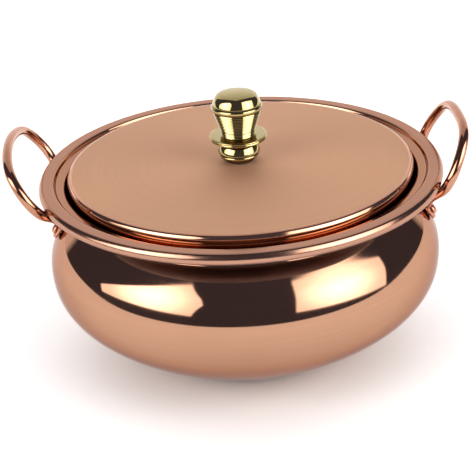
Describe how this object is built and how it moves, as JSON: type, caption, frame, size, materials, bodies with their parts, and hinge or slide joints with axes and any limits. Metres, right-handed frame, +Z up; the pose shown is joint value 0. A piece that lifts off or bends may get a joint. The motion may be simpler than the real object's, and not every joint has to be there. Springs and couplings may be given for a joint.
{
  "type": "lidded copper cooking pot",
  "caption": "Round-bellied copper cooking pot with a flat everted rim, riveted loop handles and a drop-in lid with a turned brass knob.",
  "frame": {"origin": "centre of the flat base, on the pot's axis, at the surface it stands on", "axes": "+Z up along the pot's axis; the loop handles lie on +X and -X, each set 2 degrees round towards +Y; -Y is the side the picture sees"},
  "size_m": [0.2677, 0.236, 0.1636],
  "materials": {
    "copper_polished": "polished copper sheet, finely brushed in rings, tinned inside below the lid seat",
    "copper_satin": "satin copper sheet",
    "copper_rod": "polished copper rod",
    "copper_rivet": "hammered copper",
    "steel_wire": "plain drawn wire, hidden in the rolled edge",
    "brass_polished": "turned and polished brass",
    "brass_plain": "plain brass"
  },
  "bodies": {
    "pot": {"pot_body": "copper_polished", "rim_wire": "steel_wire", "handle_left": "copper_rod", "handle_right": "copper_rod", "rivet_left_front": "copper_rivet", "rivet_left_rear": "copper_rivet", "rivet_right_front": "copper_rivet", "rivet_right_rear": "copper_rivet"},
    "lid": {"lid": "copper_satin", "knob": "brass_polished", "knob_screw": "brass_plain", "knob_washer": "brass_plain"}
  },
  "joints": [
    {"name": "lid_lift", "type": "slide", "parent": "pot", "child": "lid", "axis": [0, 0, 1], "range_m": [0, 0.1]}
  ]
}
